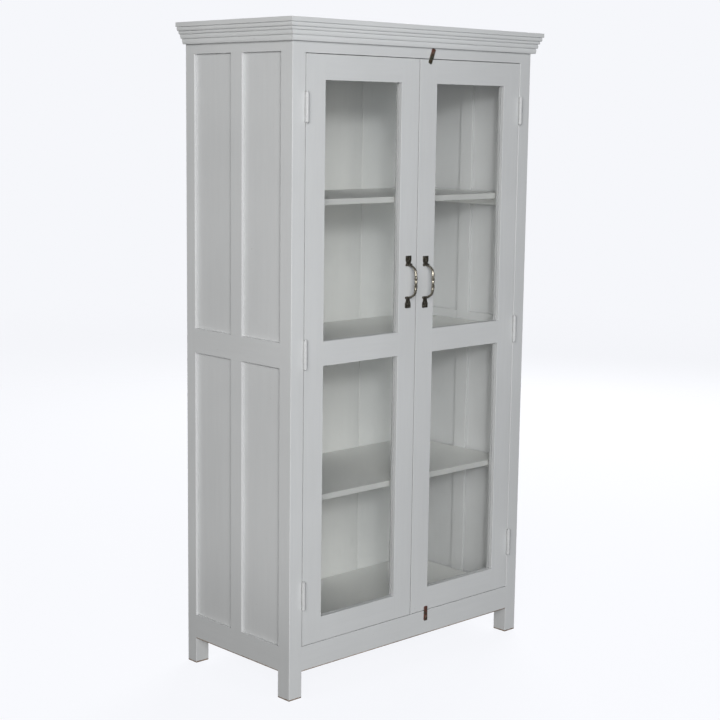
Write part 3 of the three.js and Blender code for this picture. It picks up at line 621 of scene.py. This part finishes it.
def soften(piece, width, only_along=None, segments=3):
    """Rounds the edges of a piece by modifiers: all of them, or only those along one axis."""
    weld = piece.modifiers.new("weld", "WELD")
    weld.merge_threshold = WELD
    flat = piece.modifiers.new("flat_faces", "DECIMATE")
    flat.decimate_type = "DISSOLVE"
    flat.angle_limit = FLAT
    if only_along:
        piece.modifiers.new("long_edges", "NODES").node_group = long_edges[only_along]
    bevel = piece.modifiers.new("arris", "BEVEL")
    bevel.width = width
    bevel.segments = segments
    bevel.limit_method = "WEIGHT" if only_along else "ANGLE"
    bevel.angle_limit = ANY_EDGE
    smooth(piece)


def smooth(piece):
    piece.modifiers.new("soft_shading", "NODES").node_group = soft_shading
    piece.modifiers.new("flat_normals", "WEIGHTED_NORMAL").keep_sharp = True


def weld_only(piece):
    piece.modifiers.new("weld", "WELD").merge_threshold = WELD
    smooth(piece)


def dress(name, material):
    node = nodes[name]
    node.data.materials.clear()
    node.data.materials.append(material)
    return node


def dress_cabinet():
    for side in SIDES:
        soften(dress(f"post_front_{side}", outside_paint["z"]), POST_SOFT)
        soften(dress(f"post_back_{side}", front_shaded_frame_paint), POST_SOFT)
        for place in ("top", "middle", "bottom"):
            rail_paint = low_rail_paint if place == "bottom" else outside_paint
            soften(dress(f"rail_{side}_{place}", rail_paint["y"]), RAIL_SOFT, "y")
            soften(dress(f"hinge_{side}_{place}", shaded_hinge_paint), HINGE_SOFT, segments=2)
        soften(dress(f"muntin_{side}", front_shaded_frame_paint), RAIL_SOFT, "z")
        for row in ("upper", "lower"):
            for column in ("front", "back"):
                weld_only(dress(f"panel_{side}_{row}_{column}", outside_paint["z"]))
            soften(dress(f"cleat_{row}_{side}", lightened_inside_paint["y"]), SHELF_SOFT)
        soften(dress(f"back_board_{side}", board_light_and_shade_paint[side]), RAIL_SOFT)
        soften(dress(f"cornice_{side}", lightened_cornice_paint["y"]), CORNICE_SOFT, "y")
    soften(dress("cornice_front", lightened_cornice_paint["x"]), CORNICE_SOFT, "x")
    for place in ("top", "bottom"):
        rail_paint = low_rail_paint if place == "bottom" else outside_paint
        soften(dress(f"rail_front_{place}", rail_paint["x"]), RAIL_SOFT, "x")
    for level in ("upper", "middle", "lower"):
        soften(dress(f"shelf_{level}", front_shaded_shelf_paint), SHELF_SOFT)
    weld_only(dress("bottom_board", lightened_inside_paint["x"]))
    soften(dress("top_board", outside_paint["x"]), TOP_SOFT)


def dress_doors():
    for side in SIDES:
        for place in ("hinge", "meeting"):
            soften(dress(f"{side}_door_stile_{place}", side_shaded_stile_paint), RAIL_SOFT)
        for place in ("top", "middle", "bottom"):
            soften(dress(f"{side}_door_rail_{place}", outside_paint["x"]), RAIL_SOFT, "x")
        for row in ("upper", "lower"):
            weld_only(dress(f"{side}_door_glass_{row}", glass))
        weld_only(dress(f"handle_{side}", handle_brass))
    for place in ("top", "bottom"):
        weld_only(dress(f"turn_button_{place}", button_brass))


dress_cabinet()
dress_doors()

# Pieces the CAD leaves out


def finish_piece(shape, name, material, body, bevel=0.0):
    """Makes a finished bmesh a piece that rides a body."""
    bmesh.ops.recalc_face_normals(shape, faces=shape.faces)
    mesh = bpy.data.meshes.new(name)
    shape.to_mesh(mesh)
    shape.free()
    mesh.materials.append(material)
    piece = bpy.data.objects.new(name, mesh)
    bpy.context.scene.collection.objects.link(piece)
    if bevel:
        soften(piece, bevel, segments=2)
    else:
        smooth(piece)
    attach(piece, body)


def prism(shape, loops, at, start, end):
    """Adds a closed solid between two copies of an outline with holes.

    loops holds the outline and then its holes, and at(u, v, w) gives a point's place in the cabinet.
    """
    flat = [[Vector((u, v, 0)) for u, v in loop] for loop in loops]
    corners = [point for loop in flat for point in loop]
    ends = [[shape.verts.new(at(point.x, point.y, w)) for point in corners] for w in (start, end)]
    for triangle in tessellate_polygon(flat):
        for verts in ends:
            shape.faces.new([verts[i] for i in triangle])
    first = 0
    for loop in flat:
        for i in range(len(loop)):
            a = first + i
            b = first + (i + 1) % len(loop)
            shape.faces.new((ends[0][a], ends[0][b], ends[1][b], ends[1][a]))
        first += len(loop)


def arc(radius, start, end, steps):
    """Points on a circle about the origin, from start to end in degrees."""
    turns = (math.radians(start + (end - start) * i / steps) for i in range(steps + 1))
    return [(radius * math.cos(turn), radius * math.sin(turn)) for turn in turns]


def circle(radius, points):
    return arc(radius, 0, 360 - 360 / points, points - 1)


# Glazing beads: mitred strips that hold each pane in its rebate


def pane_opening(side, row):
    """The sight lines round a pane: x range and z range."""
    hinge_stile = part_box(f"{side}_door_stile_hinge")
    meeting_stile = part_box(f"{side}_door_stile_meeting")
    stiles = (hinge_stile, meeting_stile) if side == "left" else (meeting_stile, hinge_stile)
    below, above = ("middle", "top") if row == "upper" else ("bottom", "middle")
    lower_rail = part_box(f"{side}_door_rail_{below}")
    upper_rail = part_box(f"{side}_door_rail_{above}")
    return (stiles[0][1].x, stiles[1][0].x), (lower_rail[1].z, upper_rail[0].z)


def add_bead(name, start, end, inward, depth, body):
    """A bead along a rebate's wall from corner to corner, its ends cut at 45 degrees."""
    along = (end - start).normalized()
    height = depth[1] - depth[0]
    section = [(BEAD_CLEARANCE, 0), (BEAD_WIDTH, 0), (BEAD_WIDTH, height - BEAD_ROUND)]
    for u, v in arc(BEAD_ROUND, 0, 90, 5)[1:]:
        section.append((BEAD_WIDTH - BEAD_ROUND + u, height - BEAD_ROUND + v))
    section.append((BEAD_CLEARANCE, height))
    shape = bmesh.new()
    rings = []
    for corner, sign in ((start, 1), (end, -1)):
        ring = []
        for u, v in section:
            place = corner + inward * u + along * sign * (u + BEAD_CLEARANCE)
            ring.append(shape.verts.new((place.x, depth[0] + v, place.z)))
        rings.append(ring)
        shape.faces.new(ring)
    for i in range(len(section)):
        j = (i + 1) % len(section)
        shape.faces.new((rings[0][i], rings[0][j], rings[1][j], rings[1][i]))
    finish_piece(shape, name, side_shaded_bead_paint["z" if abs(along.z) > 0.5 else "x"], body)


def add_beads(side, row):
    (left, right), (bottom, top) = pane_opening(side, row)
    left, right, bottom, top = left - REBATE, right + REBATE, bottom - REBATE, top + REBATE
    back_of_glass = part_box(f"{side}_door_glass_{row}")[1].y
    back_of_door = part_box(f"{side}_door_stile_hinge")[1].y
    depth = (back_of_glass + 2 * BEAD_CLEARANCE, back_of_door - 2 * BEAD_CLEARANCE)
    corners = [Vector((x, 0, z)) for x, z in ((left, bottom), (right, bottom), (right, top), (left, top))]
    inwards = {"bottom": UP, "right": LEFTWARD, "top": DOWN, "left": RIGHTWARD}
    for i, (place, inward) in enumerate(inwards.items()):
        name = f"bead_{side}_{row}_{place}"
        add_bead(name, corners[i], corners[(i + 1) % 4], inward, depth, f"{side}_door")


# Screws with slotted heads


def slotted_head(shape, centre, facing, radius, proud, turn=0.0):
    """A slotted, slightly domed screw head on a surface, looking along facing."""
    facing = facing.normalized()
    across = facing.orthogonal().normalized()
    across.rotate(Matrix.Rotation(turn, 3, facing))
    up = facing.cross(across)

    def at(u, v, w):
        return centre + across * u + up * v + facing * w

    prism(shape, [circle(radius, 24)], at, -HEAD_SUNK, proud * HEAD_RIM)
    for share, low, high in DOME_STEPS:
        reach = radius * share
        edge = math.degrees(math.asin(SLOT_HALF / share))
        for side in (0, 180):
            prism(shape, [arc(reach, side + edge, side + 180 - edge, 12)], at, proud * low, proud * high)


# Hinges: the door's leaf with its two knuckles, and the screws of both leaves


def add_hinge_leaf(side, place, twist):
    """The door's leaf with its knuckles, and the screws of both leaves."""
    sign = SIDES[side]
    low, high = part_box(f"hinge_{side}_{place}")
    axis = Vector(joints[f"{side}_door_hinge"]["pos_m"])
    bottom = low.z + PIN_HEAD
    top = high.z - PIN_HEAD
    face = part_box(f"{side}_door_stile_hinge")[0].y

    def seen_from_above(u, v, w):
        return Vector((axis.x - sign * u, axis.y + v, w))

    def seen_from_side(u, v, w):
        return Vector((axis.x - sign * w, u, v))

    shape = bmesh.new()
    root = face + LEAF_START - axis.y
    near, far = LEAF
    turns = [math.degrees(math.acos(reach / KNUCKLE_RADIUS)) for reach in LEAF]
    outline = arc(KNUCKLE_RADIUS, turns[0], turns[1] + 360, 26)
    outline += [(far, root + LEAF_LAP), (near, root + LEAF_LAP)]
    bore = circle(BORE_RADIUS, 24)
    pitch = (top - bottom) / KNUCKLE_COUNT
    for i in range(1, KNUCKLE_COUNT, 2):
        start = bottom + i * pitch + KNUCKLE_GAP
        prism(shape, [outline, bore], seen_from_above, start, start + pitch - 2 * KNUCKLE_GAP)
    edge = high.y
    plate = [(face + LEAF_START, bottom), (edge - LEAF_CORNER, bottom), (edge, bottom + LEAF_CORNER)]
    plate += [(edge, top - LEAF_CORNER), (edge - LEAF_CORNER, top), (face + LEAF_START, top)]
    prism(shape, [plate], seen_from_side, near, far)
    door = f"{side}_door"
    finish_piece(shape, f"hinge_leaf_{side}_{place}", shaded_hinge_paint, door, LEAF_SOFT)

    middle = (bottom + top) / 2
    for name, body, reach, direction in (("door", door, near, 1), ("frame", "cabinet", -near, -1)):
        screws = bmesh.new()
        for height, depth in zip(SCREW_HEIGHTS, SCREW_DEPTHS):
            centre = Vector((axis.x - sign * reach, face + depth, middle + height))
            facing = Vector((sign * direction, 0, 0))
            slotted_head(screws, centre, facing, SCREW_RADIUS, SCREW_PROUD, twist.uniform(0, math.pi))
        finish_piece(screws, f"{name}_leaf_screws_{side}_{place}", shaded_hinge_paint, body)


# Screws of the handles and turn buttons


def add_handle_screws(side, twist):
    low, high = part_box(f"handle_{side}")
    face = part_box(f"{side}_door_stile_meeting")[0].y
    middle = (low + high) / 2
    shape = bmesh.new()
    for height in (-FOOT_SCREW_HEIGHT, FOOT_SCREW_HEIGHT):
        centre = Vector((middle.x, face - FOOT_FRONT, middle.z + height))
        slotted_head(shape, centre, FORWARD, FOOT_SCREW_RADIUS, FOOT_SCREW_PROUD, twist.uniform(0, math.pi))
    finish_piece(shape, f"handle_screws_{side}", handle_brass, f"{side}_door")


def add_button_pivot(place, twist):
    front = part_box(f"turn_button_{place}")[0].y
    pivot = Vector(joints[f"{place}_button_pivot"]["pos_m"])
    shape = bmesh.new()
    centre = Vector((pivot.x, front - PIVOT_CLEARANCE, pivot.z))
    slotted_head(shape, centre, FORWARD, PIVOT_RADIUS, PIVOT_PROUD, twist.uniform(0, math.pi))
    finish_piece(shape, f"button_pivot_{place}", pivot_brass, "cabinet")


# Nails that hold the back boards


def add_back_nails(side, wander):
    low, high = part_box(f"back_board_{side}")
    width = high.x - low.x
    shelves = [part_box(f"shelf_{level}") for level in ("upper", "middle", "lower")]
    rows = [(below.z + above.z) / 2 for below, above in shelves]
    rows.append(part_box("bottom_board")[0].z + NAIL_FLOOR)
    places = []
    for x in (low.x + NAIL_EDGE, high.x - NAIL_EDGE):
        count = int((high.z - low.z) / NAIL_STEP_UP)
        places += [(x, low.z + (i + 0.5) * NAIL_STEP_UP) for i in range(count)]
    for z in rows:
        count = max(1, int(width / NAIL_STEP_ACROSS))
        places += [(low.x + width * (i + 1) / (count + 1), z) for i in range(count)]
    shape = bmesh.new()
    for x, z in places:
        across, up = (wander.uniform(-reach, reach) for reach in NAIL_WANDER)
        centre = Vector((x + across, high.y, z + up))

        def at(u, v, w, centre=centre):
            return centre + Vector((u, w, v))

        prism(shape, [circle(NAIL_RADIUS, 12)], at, -NAIL_SUNK, NAIL_PROUD)
    finish_piece(shape, f"back_nails_{side}", shaded_hinge_paint, "cabinet", NAIL_SOFT)


# Paint that bridges the joints of the frames


def add_fill(shape, start, end, stile_way, out, stile_side=STILE_SIDE):
    """Adds one strip over a joint.

    stile_way points from the joint to the piece with the rounded edge, and out points to the open.
    """
    along = (end - start).normalized()

    def at(u, v, w):
        return start + along * w + stile_way * u + out * v

    outline = [(-RAIL_SIDE, FILL_PROUD), (stile_side, FILL_PROUD)]
    outline += [(stile_side - FILL_SLOPE, -FILL_DEPTH), (FILL_SLOPE - RAIL_SIDE, -FILL_DEPTH)]
    prism(shape, [outline], at, FILL_END, (end - start).length - FILL_END)


def add_door_fills(side):
    shape = bmesh.new()
    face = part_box(f"{side}_door_stile_hinge")[0].y
    (left, right), _ = pane_opening(side, "upper")
    for place in ("top", "middle", "bottom"):
        low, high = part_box(f"{side}_door_rail_{place}")
        for x, way in ((left, LEFTWARD), (right, RIGHTWARD)):
            add_fill(shape, Vector((x, face, low.z)), Vector((x, face, high.z)), way, FORWARD)
    finish_piece(shape, f"joint_paint_{side}_door", fill_paint["x"], f"{side}_door")


def add_side_fills(side):
    shape = bmesh.new()
    outward = Vector((SIDES[side], 0, 0))
    rails = {place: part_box(f"rail_{side}_{place}") for place in ("top", "middle", "bottom")}
    face = rails["top"][0].x if side == "left" else rails["top"][1].x
    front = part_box(f"post_front_{side}")[1].y
    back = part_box(f"post_back_{side}")[0].y
    for low, high in rails.values():
        for y, way in ((front, FORWARD), (back, BACKWARD)):
            add_fill(shape, Vector((face, y, low.z)), Vector((face, y, high.z)), way, outward, POST_SIDE)
    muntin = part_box(f"muntin_{side}")
    meetings = ((rails["bottom"][1].z, UP), (rails["middle"][0].z, DOWN))
    meetings += ((rails["middle"][1].z, UP), (rails["top"][0].z, DOWN))
    for z, way in meetings:
        add_fill(shape, Vector((face, muntin[0].y, z)), Vector((face, muntin[1].y, z)), way, outward)
    finish_piece(shape, f"joint_paint_{side}_side", fill_paint["y"], "cabinet")


def add_front_fills():
    shape = bmesh.new()
    for place in ("top", "bottom"):
        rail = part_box(f"rail_front_{place}")
        for side, sign in SIDES.items():
            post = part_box(f"post_front_{side}")
            x = post[1].x if sign < 0 else post[0].x
            foot, head = (Vector((x, rail[0].y, corner.z)) for corner in rail)
            add_fill(shape, foot, head, Vector((sign, 0, 0)), FORWARD, POST_SIDE)
    finish_piece(shape, "joint_paint_front", fill_paint["x"], "cabinet")


twist = random.Random(7)
for side in SIDES:
    for row in ("upper", "lower"):
        add_beads(side, row)
    for place in ("top", "middle", "bottom"):
        add_hinge_leaf(side, place, twist)
    add_handle_screws(side, twist)
    add_back_nails(side, twist)
    add_door_fills(side)
    add_side_fills(side)
for place in ("top", "bottom"):
    add_button_pivot(place, twist)
add_front_fills()
